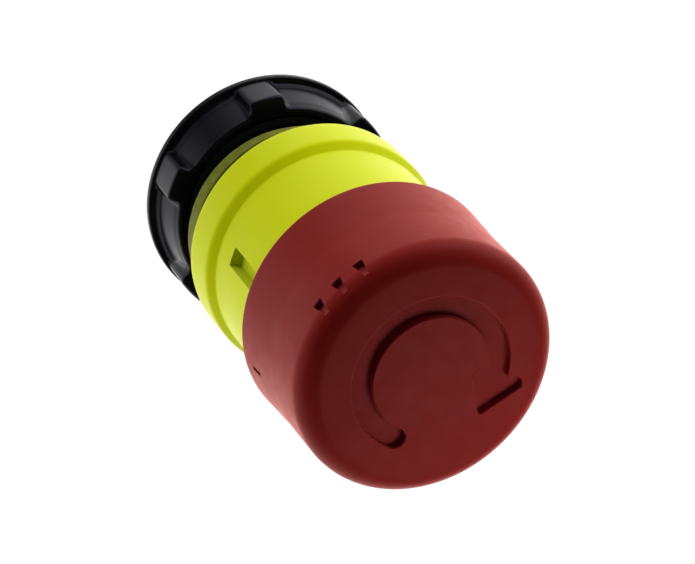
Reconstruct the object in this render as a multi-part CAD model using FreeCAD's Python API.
import FreeCAD, Part
import os
import math
from FreeCAD import Vector

# Emergency stop actuator head for a 22.3 mm panel hole.
# Frame: origin on the actuator axis, in the plane of the panel seating face.
# +Z runs along the axis to the front, towards the operator; -Z is the rear, in the enclosure.
# The turn arrow starts on the +X side, runs clockwise past -Y and -X.
# Lengths in millimetres. R is a radius, Z a height on the axis, DEG an angle from +X.

# clearances
RUN = 0.05               # running clearance on a radius
GAP = 0.03               # between parts stacked along the axis
SEAT_GAP = 0.02          # between parts fixed to each other

# palm cap
CAP_RIM_Z = 23.0         # rear rim of the skirt
CAP_TOP_Z = 38.75        # front face
CAP_R_RIM = 15.0
CAP_R_MID = 14.56
CAP_MID_Z = 30.5
CAP_R_FRONT = 14.46
CAP_EDGE_R = 2.35        # rounding between side and front face
CAP_SKIRT_IN = 14.06
CAP_ROOF_Z = 36.0        # underside of the front wall

# engraved turn arrow
ARROW_R_OUT = 8.95
ARROW_R_IN = 6.60
ARROW_DEPTH = 0.75
ARROW_TAIL_DEG = 22.3
ARROW_END_DEG = -231.0
# head outline: x, y
ARROW_HEAD = [(-5.60, 6.79), (-6.60, 9.29), (-0.72, 8.17), (-2.95, 3.90), (-4.50, 4.90)]
ARROW_HEAD_ROUND = 0.35
# rounded corners of the head: x, y, radius
ARROW_BARBS = [(-3.76, 4.27, 1.00), (-5.85, 8.25, 0.85)]

# triangular index notches on the cap's shoulder
NOTCH_DEGS = [-97.9, -86.8, -75.5]
NOTCH_Z0 = 35.35
NOTCH_Z1 = 38.25
NOTCH_HALF = 0.64
NOTCH_FLOOR_R = 13.62

# slit in the skirt
SLIT_DEG = -25.3
SLIT_Z0 = 25.4
SLIT_Z1 = 27.3
SLIT_W = 0.55
SLIT_FLOOR_R = CAP_R_RIM - 0.25 - 0.5

# hub under the cap, and the circle of screws that holds it
HUB_R = 11.0
HUB_Z0 = 31.2            # rear face of the hub's flange
HUB_Z1 = 33.40
HUB_SLEEVE_R = 5.5
HUB_SLEEVE_Z0 = 22.50
SCREW_CIRCLE_R = 8.4
SCREW_DEGS = [30, 150, 270]

# plunger
STEM_R = 3.5
STEM_TOP_Z = 35.1
CLIP_GROOVE_Z0 = 32.84   # stem groove for the retaining ring
CLIP_GROOVE_Z1 = 33.38
DISC_R = 8.6
DISC_Z0 = 20.4
DISC_Z1 = 21.85
PLUNGER_R = 6.0
PLUNGER_REAR_Z = -14.0
PLUNGER_GROOVE_Z0 = 7.0  # wiper ring groove
PLUNGER_GROOVE_Z1 = 7.95
SPRING_SEAT_Z0 = 19.95
TURN_SPRING_R = 7.6      # mean radius of the coil

# contact foot at the plunger's rear end
FOOT_R = 5.6
FOOT_FACE_Z = -17.2      # rear face that pushes the contact blocks
FOOT_SEAT_Z = -15.4      # seat of the screw head

# latch pins
PIN_R = 1.25
PIN_Z = 2.0
PIN_INNER_X = 2.0        # inner end face of each pin
PIN_SPRING_X = 1.9       # end of the spring between the pins

# guide bush
BUSH_BORE_R = PLUNGER_R + RUN
BUSH_Z0 = -10.0
BUSH_Z1 = 11.5

# collar
SHOULDER_R = 12.35       # boss that bears on the panel
LUG_R = 12.25            # off-centre disc that thickens the shoulder on one side
LUG_H = 2.70
LUG_OFFSET = 0.95
LUG_DEG = -45.0
GASKET_R_IN = 11.25      # gasket groove in the seating face
GASKET_R_OUT = 11.95
GASKET_DEPTH = 1.2
RING_Z0 = 4.9            # rear edge of the collar's wide ring
RING_R0 = 14.52
RING_R1 = 14.42
BAND_Z0 = 9.9            # chamfer band between wide ring and front barrel
BAND_Z1 = 11.15
BARREL_R = 13.65
COLLAR_TOP_Z = 28.5
COLLAR_BORE_R = 11.6
LEDGE_Z = 9.0
NECK_BORE_R = 10.42
WINDOW_DEG = -57.2       # recess in the barrel
WINDOW_HALF_DEG = 4.6
WINDOW_Z0 = 14.45
WINDOW_Z1 = 25.0
WINDOW_FLOOR_R = 12.35

# threaded sleeve
THREAD_R = 11.0          # M22 x 1.5
THREAD_ROOT_R = 10.2
THREAD_PITCH = 1.5
SLEEVE_REAR_Z = -16.0
SLEEVE_BORE_R = 8.6
SLEEVE_GROOVE_Z0 = 5.65  # O-ring groove
SLEEVE_GROOVE_Z1 = 6.6
KEYWAY_W = 2.0

# panel nut
NUT_Z0 = -9.9            # rear face
NUT_Z1 = -3.5            # front face
NUT_PANEL_R1 = 13.15     # between the ribs, at the front face
NUT_PANEL_R0 = 14.10     # between the ribs, at the flange
NUT_RIB_R = 14.80
NUT_RIB_HALF = 2.2
NUT_RIBS = 6
NUT_RIB_PITCH_DEG = 360 / NUT_RIBS
NUT_FLANGE_R = 15.1
NUT_FLANGE_Z = -8.7      # front face of the rear flange
NUT_BORE_R = 11.06

Z = Vector(0, 0, 1)
O = Vector(0, 0, 0)


# ---------------- helpers ----------------
def revolve(outline):
    """Solid of revolution about Z from (r, z) points; a point may be
    ('arc', (r, z) through, (r, z) end)."""
    edges = []
    start = current = Vector(outline[0][0], 0, outline[0][1])
    for point in outline[1:]:
        if point[0] == 'arc':
            (mid_r, mid_z), (end_r, end_z) = point[1:]
            end = Vector(end_r, 0, end_z)
            edges.append(Part.Arc(current, Vector(mid_r, 0, mid_z), end).toShape())
        else:
            end = Vector(point[0], 0, point[1])
            edges.append(Part.makeLine(current, end))
        current = end
    edges.append(Part.makeLine(current, start))
    return Part.Face(Part.Wire(edges)).revolve(O, Z, 360)


def polar(r, deg, z=0.0):
    angle = math.radians(deg)
    return Vector(r * math.cos(angle), r * math.sin(angle), z)


def cylinder(radius, z0, z1, centre=O):
    return Part.makeCylinder(radius, z1 - z0, Vector(centre.x, centre.y, z0), Z)


def tube(r_out, r_in, z0, z1):
    return cylinder(r_out, z0, z1).cut(cylinder(r_in, z0 - 1, z1 + 1))


def box(x, y, z, deg=0.0):
    """Box from (low, high) pairs, turned about Z."""
    block = Part.makeBox(x[1] - x[0], y[1] - y[0], z[1] - z[0], Vector(x[0], y[0], z[0]))
    if deg:
        block.rotate(O, Z, deg)
    return block


def sector(r_in, r_out, deg0, deg1, z0, z1):
    """Annular sector prism between two angles."""
    outer = [polar(r_out, deg, z0) for deg in (deg0, 0.5 * (deg0 + deg1), deg1)]
    inner = [polar(r_in, deg, z0) for deg in (deg1, 0.5 * (deg0 + deg1), deg0)]
    wire = Part.Wire([
        Part.Arc(*outer).toShape(),
        Part.makeLine(outer[2], inner[0]),
        Part.Arc(*inner).toShape(),
        Part.makeLine(inner[2], outer[0]),
    ])
    return Part.Face(wire).extrude(Vector(0, 0, z1 - z0))


def coil(r_mean, wire_d, z0, z1, turns, start_deg=0.0):
    """Coil spring between two planes; the wire's section is a twelve-sided
    polygon and its centre line stays half a wire inside the two planes."""
    sides = 12
    height = (z1 - z0) - wire_d
    helix = Part.makeHelix(height / turns, height, r_mean)
    angles = [2 * math.pi * (i + 0.5) / sides for i in range(sides)]
    corners = [Vector(r_mean + wire_d / 2 * math.cos(a), 0, wire_d / 2 * math.sin(a))
               for a in angles]
    section = Part.makePolygon(corners + [corners[0]])
    spring = Part.Wire(helix.Edges).makePipeShell([section], True, True)
    if spring.ShapeType != "Solid":
        spring = Part.Solid(spring.Shells[0])
    spring.translate(Vector(0, 0, z0 + wire_d / 2))
    spring.rotate(O, Z, start_deg)
    if spring.Volume < 0:
        spring.reverse()
    return spring


def cross_recess(length, width, depth, z0):
    """Cutter for a cross recess, from z0 forwards."""
    along, across = (-length / 2, length / 2), (-width / 2, width / 2)
    z = (z0, z0 + depth)
    return box(along, across, z).fuse(box(across, along, z))


def one(shape):
    """The largest solid of a boolean result."""
    return max(shape.Solids, key=lambda solid: solid.Volume)


# ---------------- palm cap ----------------
def arrow_groove():
    """Cutter for the turn arrow: arc with a round tail, and a rounded head."""
    z0, z1 = CAP_TOP_Z - ARROW_DEPTH, CAP_TOP_Z + 1
    r_mid = 0.5 * (ARROW_R_OUT + ARROW_R_IN)
    half_width = 0.5 * (ARROW_R_OUT - ARROW_R_IN)
    groove = sector(ARROW_R_IN, ARROW_R_OUT, ARROW_TAIL_DEG, ARROW_END_DEG, z0, z1)
    groove = groove.fuse(cylinder(half_width, z0, z1, polar(r_mid, ARROW_TAIL_DEG)))
    corners = [Vector(x, y, z0) for x, y in ARROW_HEAD]
    head = Part.Face(Part.makePolygon(corners + [corners[0]]))
    # guards the 2D offsets: if one fails, the head keeps its sharp corners
    try:
        rounded = head.makeOffset2D(-ARROW_HEAD_ROUND).makeOffset2D(ARROW_HEAD_ROUND)
        if not rounded.Faces:
            rounded = Part.Face(rounded.Wires[0])
        head = rounded.Faces[0]
    except Exception:
        pass
    groove = groove.fuse(head.extrude(Vector(0, 0, z1 - z0)))
    for x, y, radius in ARROW_BARBS:
        groove = groove.fuse(cylinder(radius, z0, z1, Vector(x, y, 0)))
    return groove.removeSplitter()


def notch_cutter(deg):
    """Triangle that runs out over the cap's rounded edge."""
    corners = [Vector(NOTCH_FLOOR_R, -NOTCH_HALF, NOTCH_Z0),
               Vector(NOTCH_FLOOR_R, NOTCH_HALF, NOTCH_Z0),
               Vector(NOTCH_FLOOR_R, 0, NOTCH_Z1)]
    cutter = Part.Face(Part.makePolygon(corners + [corners[0]])).extrude(Vector(3, 0, 0))
    cutter.rotate(O, Z, deg)
    return cutter


def palm_cap():
    edge_mid = CAP_EDGE_R * math.cos(math.radians(45))
    edge_z = CAP_TOP_Z - CAP_EDGE_R
    edge_r = CAP_R_FRONT - CAP_EDGE_R
    cap = revolve([
        (0, CAP_TOP_Z),
        (edge_r, CAP_TOP_Z),
        ('arc', (edge_r + edge_mid, edge_z + edge_mid), (CAP_R_FRONT, edge_z)),
        (CAP_R_MID, CAP_MID_Z),
        (CAP_R_RIM, CAP_RIM_Z + 0.45),
        ('arc', (CAP_R_RIM - 0.10, CAP_RIM_Z + 0.12), (CAP_R_RIM - 0.40, CAP_RIM_Z)),
        (CAP_SKIRT_IN + 0.15, CAP_RIM_Z),
        (CAP_SKIRT_IN, CAP_RIM_Z + 0.2),
        (CAP_SKIRT_IN, 31.6),
        (13.35, 34.6),
        ('arc', (12.95, 35.6), (12.0, CAP_ROOF_Z)),
        (0, CAP_ROOF_Z),
    ])
    # bosses for the hub screws, a stiffening ring under the roof, pilot bores
    boss_r, pilot_r = 2.0, 1.1
    screw_centres = [polar(SCREW_CIRCLE_R, deg) for deg in SCREW_DEGS]
    for centre in screw_centres:
        cap = cap.fuse(cylinder(boss_r, HUB_Z1 + SEAT_GAP, CAP_ROOF_Z + 0.3, centre))
    cap = cap.fuse(tube(r_out=11.4, r_in=10.9, z0=34.4, z1=CAP_ROOF_Z + 0.2))
    for centre in screw_centres:
        cap = cap.cut(cylinder(pilot_r, 33.0, 36.6, centre))

    cap = cap.cut(arrow_groove())
    for deg in NOTCH_DEGS:
        cap = cap.cut(notch_cutter(deg))
    cap = cap.cut(box(x=(SLIT_FLOOR_R, 16), y=(-SLIT_W / 2, SLIT_W / 2),
                      z=(SLIT_Z0, SLIT_Z1), deg=SLIT_DEG))
    return one(cap.removeSplitter())


# ---------------- hub and its parts ----------------
def cap_hub():
    """Screwed to the cap's bosses, turns on the plunger stem."""
    bore_r = STEM_R + RUN
    recess_r, recess_z = 5.6, 32.8
    hub = revolve([
        (bore_r, HUB_SLEEVE_Z0), (HUB_SLEEVE_R, HUB_SLEEVE_Z0), (HUB_SLEEVE_R, HUB_Z0),
        (HUB_R - 0.3, HUB_Z0), (HUB_R, HUB_Z0 + 0.3),
        (HUB_R, HUB_Z1 - 0.2), (HUB_R - 0.2, HUB_Z1),
        (recess_r, HUB_Z1), (recess_r, recess_z), (bore_r, recess_z),
    ])
    # screw holes, with wider holes between them
    screw_hole_r, wide_hole_r = 1.3, 1.7
    for deg in SCREW_DEGS:
        hub = hub.cut(cylinder(screw_hole_r, 30, 34, polar(SCREW_CIRCLE_R, deg)))
        hub = hub.cut(cylinder(wide_hole_r, 30, 34, polar(SCREW_CIRCLE_R, deg + 60)))
    return one(hub)


def hub_screw(centre):
    """Pan head at the rear, cross recess, forming thread."""
    core_r, crest_r = 0.9, 1.08
    pitch = 0.4
    head_z = HUB_Z0 - SEAT_GAP
    outline = [(0, 35.6), (0.45, 35.6), (core_r, 34.9)]
    z = 34.9
    while z > 31.6:
        outline += [(crest_r, z - pitch / 2), (core_r, z - pitch)]
        z -= pitch
    outline += [(core_r, head_z), (2.0, head_z), (2.0, 30.6),
                ('arc', (1.7, 30.15), (1.0, 29.95)), (0, 29.95)]
    recess = cross_recess(length=1.9, width=0.4, depth=0.6, z0=29.85)
    screw = one(revolve(outline).cut(recess))
    screw.translate(centre)
    return screw


def hub_screws():
    return Part.makeCompound([hub_screw(polar(SCREW_CIRCLE_R, deg)) for deg in SCREW_DEGS])


def stem_retaining_ring():
    """Open ring in the stem groove, in the hub's front recess."""
    ring = tube(r_out=5.0, r_in=2.95,
                z0=CLIP_GROOVE_Z0 + SEAT_GAP, z1=CLIP_GROOVE_Z1 - SEAT_GAP)
    return one(ring.cut(box(x=(-1.2, 1.2), y=(2.0, 6.0), z=(32, 34))))


def thrust_washer():
    """Between hub sleeve and plunger disc."""
    return tube(r_out=5.9, r_in=STEM_R + 0.1, z0=DISC_Z1 + GAP, z1=HUB_SLEEVE_Z0 - GAP)


def release_cam():
    """Crown round the hub sleeve, its three steps face the disc.
    The front part is slimmer, to stay clear of the screw heads."""
    bore_r = HUB_SLEEVE_R + SEAT_GAP
    wide_r, slim_r = 7.0, 6.25
    z_rear, z_step, z_front = 27.6, 29.6, 31.1
    cam = revolve([(bore_r, z_rear), (wide_r, z_rear), (wide_r, z_step),
                   (slim_r, z_step), (slim_r, z_front), (bore_r, z_front)])
    for k in range(3):
        cam = cam.cut(sector(r_in=5.0, r_out=7.6, deg0=20 + 120 * k, deg1=80 + 120 * k,
                             z0=27.0, z1=29.0))
    return one(cam.cut(box(x=(5.0, 8.0), y=(-0.6, 0.6), z=(27, 32), deg=150)))


def turn_return_spring():
    """Torsion spring round the hub sleeve that turns the cap back."""
    return coil(TURN_SPRING_R, wire_d=0.6, z0=DISC_Z1 + GAP, z1=27.4, turns=6.0,
                start_deg=200.0)


# ---------------- plunger and its parts ----------------
def plunger():
    clip_floor_r, groove_floor_r = 2.85, 5.05
    tail_r, tail_z = 4.6, PLUNGER_REAR_Z + 3.0
    body = revolve([
        (0, STEM_TOP_Z), (STEM_R - 0.4, STEM_TOP_Z), (STEM_R, STEM_TOP_Z - 0.4),
        (STEM_R, CLIP_GROOVE_Z1), (clip_floor_r, CLIP_GROOVE_Z1),
        (clip_floor_r, CLIP_GROOVE_Z0), (STEM_R, CLIP_GROOVE_Z0),
        (STEM_R, DISC_Z1), (DISC_R - 0.25, DISC_Z1),
        (DISC_R, DISC_Z1 - 0.25), (DISC_R, DISC_Z0), (PLUNGER_R, DISC_Z0),
        (PLUNGER_R, PLUNGER_GROOVE_Z1), (groove_floor_r, PLUNGER_GROOVE_Z1),
        (groove_floor_r, PLUNGER_GROOVE_Z0), (PLUNGER_R, PLUNGER_GROOVE_Z0),
        (PLUNGER_R, tail_z), (tail_r, tail_z), (tail_r, PLUNGER_REAR_Z), (0, PLUNGER_REAR_Z),
    ])
    # rib that keeps the plunger from turning
    body = body.fuse(box(x=(-0.95, 0.95), y=(4.0, 7.0), z=(-6.0, 6.2)))
    # cross bore for the latch pins
    body = body.cut(Part.makeCylinder(PIN_R + RUN, 20, Vector(-10, 0, PIN_Z), Vector(1, 0, 0)))
    # pilot bore for the foot screw and relief bore in the stem
    pilot_r, relief_r, leg_r = 1.25, 1.6, 0.5
    body = body.cut(cylinder(pilot_r, PLUNGER_REAR_Z - 0.1, PLUNGER_REAR_Z + 6.9))
    body = body.cut(cylinder(relief_r, 21.5, 35.5))
    # hole for the torsion spring's leg
    body = body.cut(cylinder(leg_r, 20.0, 23.0, polar(TURN_SPRING_R, 170)))
    return one(body.removeSplitter())


def plunger_o_ring():
    """Wiper ring in the plunger groove."""
    z = (PLUNGER_GROOVE_Z0 + PLUNGER_GROOVE_Z1) / 2
    mean_r, section_r = 5.50, 0.44
    return Part.makeTorus(mean_r, section_r, Vector(0, 0, z), Z)


def spring_seat():
    """Washer behind the disc."""
    return tube(r_out=8.3, r_in=6.1, z0=SPRING_SEAT_Z0, z1=DISC_Z0 - GAP)


def return_spring():
    """Between guide bush and spring seat."""
    return coil(r_mean=7.25, wire_d=0.9, z0=BUSH_Z1 + GAP, z1=SPRING_SEAT_Z0 - GAP,
                turns=3.5, start_deg=40.0)


def latch_pin(side):
    """Pin with a ball nose; side is 1 on +X, -1 on -X."""
    outward = Vector(side, 0, 0)
    nose_x = PLUNGER_R - 0.1 - PIN_R
    shank = Part.makeCylinder(PIN_R, nose_x - PIN_INNER_X,
                              Vector(side * PIN_INNER_X, 0, PIN_Z), outward)
    ball = Part.makeSphere(PIN_R, Vector(side * nose_x, 0, PIN_Z))
    pin = one(shank.fuse(ball).removeSplitter())
    seat_r, seat_length = 0.75, 1.0
    seat = Part.makeCylinder(seat_r, seat_length,
                             Vector(side * PIN_SPRING_X, 0, PIN_Z), outward)
    return one(pin.cut(seat))


def latch_spring():
    """Between the two pins, along X."""
    spring = coil(r_mean=0.85, wire_d=0.26, z0=-PIN_SPRING_X, z1=PIN_SPRING_X, turns=6.0)
    spring.rotate(O, Vector(0, 1, 0), 90)
    spring.translate(Vector(0, 0, PIN_Z))
    return spring


def contact_foot():
    """Four-armed pusher on the plunger's rear end, held by one screw."""
    foot = tube(FOOT_R, r_in=4.65, z0=-15.0, z1=-11.4)
    foot = foot.fuse(tube(FOOT_R, r_in=1.3, z0=FOOT_SEAT_Z, z1=PLUNGER_REAR_Z - GAP))
    foot = foot.fuse(tube(FOOT_R, r_in=3.3, z0=FOOT_FACE_Z, z1=-15.2))
    for k in range(4):
        foot = foot.fuse(box(x=(4.9, 7.6), y=(-1.2, 1.2), z=(FOOT_FACE_Z, -12.6),
                             deg=45 + 90 * k))
    return one(foot.removeSplitter())


def foot_screw():
    shank_r, head_r = 1.2, 2.6
    head_z = FOOT_SEAT_Z - SEAT_GAP
    screw = revolve([
        (0, -8.2), (0.6, -8.2), (shank_r, -9.0), (shank_r, head_z), (head_r, head_z),
        (head_r, -16.3), ('arc', (2.2, -16.85), (1.3, -17.05)), (0, -17.05)])
    return one(screw.cut(cross_recess(length=2.4, width=0.5, depth=0.8, z0=-17.2)))


# ---------------- guide bush ----------------
def guide_bush():
    """Carries the plunger; the conical flare in its bore is the latch ramp."""
    body_r, flare_r, flange_r = 8.52, 7.16, 9.8
    flange_z = 10.52
    bush = revolve([
        (BUSH_BORE_R, BUSH_Z1), (BUSH_BORE_R + 0.3, BUSH_Z1),
        (flange_r - 0.25, BUSH_Z1), (flange_r, BUSH_Z1 - 0.25),
        (flange_r, flange_z), (body_r, flange_z), (body_r, BUSH_Z0),
        (BUSH_BORE_R, BUSH_Z0), (BUSH_BORE_R, -3.7), (flare_r, -3.7), (flare_r, -3.45),
        (BUSH_BORE_R, 1.72),
    ])
    # slot for the plunger's rib
    return one(bush.cut(box(x=(-1.02, 1.02), y=(4.0, 7.12), z=(-11, 12))))


def bush_retaining_ring():
    """Open ring that keeps the bush in the sleeve."""
    ring = tube(r_out=9.15, r_in=7.9, z0=-10.85, z1=-10.05)
    return one(ring.cut(box(x=(-1.6, 1.6), y=(-10, -6), z=(-12, -9))))


# ---------------- threaded sleeve ----------------
def threaded_sleeve():
    """Goes through the panel hole; the thread is a row of ring-shaped ridges."""
    rim_r, neck_r, groove_r = 11.55, NECK_BORE_R - 0.03, 9.55
    rim_z0, rim_z1 = LEDGE_Z + 0.01, 10.5
    crest_r = THREAD_R - 0.02
    outline = [
        (SLEEVE_BORE_R, rim_z1), (rim_r - 0.2, rim_z1), (rim_r, rim_z1 - 0.2), (rim_r, rim_z0),
        (neck_r, rim_z0), (neck_r, SLEEVE_GROOVE_Z1), (groove_r, SLEEVE_GROOVE_Z1),
        (groove_r, SLEEVE_GROOVE_Z0), (neck_r, SLEEVE_GROOVE_Z0),
        (neck_r, -0.2), (THREAD_ROOT_R, -0.5),
    ]
    z = -0.9
    while z - THREAD_PITCH > SLEEVE_REAR_Z + 1.3:
        outline += [(THREAD_ROOT_R, z), (crest_r, z - 0.56), (crest_r, z - 0.74),
                    (THREAD_ROOT_R, z - 1.3)]
        z -= THREAD_PITCH
    # rear end, then the groove in the bore for the bush's retaining ring
    ring_groove_r, ring_groove_z0 = 9.25, -10.95
    outline += [
        (THREAD_ROOT_R, z), (THREAD_ROOT_R, SLEEVE_REAR_Z + 0.4),
        (THREAD_ROOT_R - 0.4, SLEEVE_REAR_Z), (SLEEVE_BORE_R + 0.3, SLEEVE_REAR_Z),
        (SLEEVE_BORE_R, SLEEVE_REAR_Z + 0.3), (SLEEVE_BORE_R, ring_groove_z0),
        (ring_groove_r, ring_groove_z0), (ring_groove_r, BUSH_Z0), (SLEEVE_BORE_R, BUSH_Z0),
    ]
    sleeve = revolve(outline)
    sleeve = sleeve.cut(box(x=(-KEYWAY_W / 2, KEYWAY_W / 2), y=(9.75, 12),
                            z=(SLEEVE_REAR_Z - 1, -0.3)))
    # three bayonet slots at the rear end for the contact block carrier
    for k in range(3):
        sleeve = sleeve.cut(box(x=(8.0, 12.0), y=(-1.3, 1.3),
                                z=(SLEEVE_REAR_Z - 1, SLEEVE_REAR_Z + 2.6), deg=-90 + 120 * k))
    return one(sleeve)


def sleeve_o_ring():
    z = (SLEEVE_GROOVE_Z0 + SLEEVE_GROOVE_Z1) / 2
    mean_r, section_r = 9.98, 0.42
    return Part.makeTorus(mean_r, section_r, Vector(0, 0, z), Z)


# ---------------- collar and its seals ----------------
def collar():
    ring_in = RING_R0 - 0.9
    body = revolve([
        (NECK_BORE_R, 0.4), (NECK_BORE_R + 0.25, 0.0),
        (GASKET_R_IN, 0.0), (GASKET_R_IN, GASKET_DEPTH),
        (GASKET_R_OUT, GASKET_DEPTH), (GASKET_R_OUT, 0.0),
        (SHOULDER_R - 0.2, 0.0), (SHOULDER_R, 0.2), (SHOULDER_R, RING_Z0 + 0.5),
        (ring_in, RING_Z0 + 0.5), (ring_in, RING_Z0), (RING_R0 - 0.25, RING_Z0),
        ('arc', (RING_R0 - 0.07, RING_Z0 + 0.07), (RING_R0, RING_Z0 + 0.25)),
        (RING_R1, BAND_Z0 - 0.35),
        ('arc', (RING_R1 - 0.045, BAND_Z0), (RING_R1 - 0.2, BAND_Z0 + 0.3)),
        (BARREL_R, BAND_Z1), (BARREL_R - 0.02, COLLAR_TOP_Z - 0.5),
        (BARREL_R - 0.5, COLLAR_TOP_Z),
        (COLLAR_BORE_R + 0.3, COLLAR_TOP_Z), (COLLAR_BORE_R, COLLAR_TOP_Z - 0.3),
        (COLLAR_BORE_R, LEDGE_Z), (NECK_BORE_R, LEDGE_Z),
    ])
    # recess in the barrel that runs forward under the palm cap
    body = body.cut(sector(WINDOW_FLOOR_R, 15.5, WINDOW_DEG - WINDOW_HALF_DEG,
                           WINDOW_DEG + WINDOW_HALF_DEG, WINDOW_Z0, WINDOW_Z1))
    # groove for the cap wiper
    body = body.cut(tube(r_out=14.5, r_in=13.05, z0=26.2, z1=27.2))
    # off-centre lug that widens the shoulder towards one side
    lug = cylinder(LUG_R, 0.0, LUG_H, polar(LUG_OFFSET, LUG_DEG))
    lug = lug.cut(cylinder(SHOULDER_R - 0.2, -1, 7))
    return one(body.fuse(lug).removeSplitter())


def cap_wiper():
    """Ring between barrel and skirt."""
    return one(revolve([(13.08, 26.24), (13.08, 27.16), (13.6, 27.16),
                        (13.98, 26.95), (13.98, 26.75), (13.6, 26.24)]))


def panel_gasket():
    """At its clamped height, just inside the seating face."""
    r_in, r_out = GASKET_R_IN + GAP, GASKET_R_OUT - GAP
    z_front = GASKET_DEPTH - GAP
    return revolve([(r_in, z_front), (r_out, z_front), (r_out, 0.2),
                    (r_out - 0.12, 0.02), (r_in + 0.12, 0.02), (r_in, 0.2)])


# ---------------- panel nut and washer ----------------
def rib_edges(shape, at_root):
    """Long edges at the roots of the ribs, or at their outer corners."""
    found = []
    for edge in shape.Edges:
        ends = [vertex.Point for vertex in edge.Vertexes]
        if len(ends) == 2 and abs(ends[0].z - ends[1].z) > 3.0:
            r = max(math.hypot(end.x, end.y) for end in ends)
            deg = math.degrees(math.atan2(ends[0].y, ends[0].x))
            half_pitch = NUT_RIB_PITCH_DEG / 2
            off_rib = abs((deg + half_pitch) % NUT_RIB_PITCH_DEG - half_pitch)
            if 5.0 < off_rib < 12.0 and (r > NUT_RIB_R - 0.05) != at_root:
                found.append(edge)
    return found


def front_edges(shape):
    """Edges that lie in the nut's front face."""
    return [edge for edge in shape.Edges
            if all(abs(vertex.Point.z - NUT_Z1) < 1e-4 for vertex in edge.Vertexes)
            and abs(edge.CenterOfMass.z - NUT_Z1) < 1e-4]


def panel_nut():
    core_z0 = NUT_Z0 + 0.3
    rib_z0 = NUT_FLANGE_Z - 0.3
    core = revolve([(0, core_z0), (NUT_PANEL_R0, core_z0), (NUT_PANEL_R0, NUT_FLANGE_Z),
                    (NUT_PANEL_R1, NUT_Z1), (0, NUT_Z1)])
    # taller than the ribs by 0.3 less nothing at the front: it only trims their radius
    rim = cylinder(NUT_RIB_R, rib_z0, NUT_Z1)
    for k in range(NUT_RIBS):
        rib = box(x=(11.5, 16.0), y=(-NUT_RIB_HALF, NUT_RIB_HALF), z=(rib_z0, NUT_Z1),
                  deg=NUT_RIB_PITCH_DEG * k)
        core = core.fuse(rib.common(rim))
    core = one(core.removeSplitter())

    # guards the fillets: if one fails, it and those after it are left out
    try:
        core = one(core.makeFillet(0.6, rib_edges(core, at_root=True)))
        core = one(core.makeFillet(0.5, rib_edges(core, at_root=False)))
        core = one(core.makeFillet(0.45, front_edges(core)))
    except Exception:
        pass

    flange_in = 12.0
    flange = revolve([
        (flange_in, NUT_FLANGE_Z), (NUT_FLANGE_R - 0.3, NUT_FLANGE_Z),
        ('arc', (NUT_FLANGE_R - 0.09, NUT_FLANGE_Z - 0.09), (NUT_FLANGE_R, NUT_FLANGE_Z - 0.3)),
        (NUT_FLANGE_R, NUT_Z0 + 0.4),
        ('arc', (NUT_FLANGE_R - 0.12, NUT_Z0 + 0.12), (NUT_FLANGE_R - 0.4, NUT_Z0)),
        (flange_in, NUT_Z0),
    ])
    nut = core.fuse(flange)
    nut = nut.fuse(cylinder(12.5, NUT_Z0, NUT_Z0 + 0.6))
    # bore, flared at the rear
    nut = nut.cut(revolve([(0, NUT_Z0 - 1), (NUT_BORE_R + 1.6, NUT_Z0 - 1),
                           (NUT_BORE_R, NUT_Z0 + 0.6), (NUT_BORE_R, NUT_Z1 + 1),
                           (0, NUT_Z1 + 1)]))
    # counterbore that hides the keyed washer
    nut = nut.cut(cylinder(12.1, NUT_Z1 - 0.9, NUT_Z1 + 1.0))
    return one(nut.removeSplitter())


def keyed_washer():
    z0, z1 = NUT_Z1 - 0.85, NUT_Z1 - 0.1
    washer = tube(r_out=11.95, r_in=11.08, z0=z0, z1=z1)
    washer = washer.fuse(box(x=(-0.9, 0.9), y=(10.3, 11.4), z=(z0, z1)))
    return one(washer.removeSplitter())


os.makedirs("parts", exist_ok=True)
for build in (palm_cap, cap_hub, hub_screws, stem_retaining_ring, thrust_washer, release_cam,
              plunger, plunger_o_ring, spring_seat, turn_return_spring, latch_spring,
              return_spring, contact_foot, foot_screw, guide_bush, bush_retaining_ring,
              threaded_sleeve, sleeve_o_ring, collar, cap_wiper, panel_gasket, panel_nut,
              keyed_washer):
    build().exportStep("parts/" + build.__name__ + ".step")
for name, side in (("latch_pin_right", 1), ("latch_pin_left", -1)):
    latch_pin(side).exportStep("parts/" + name + ".step")
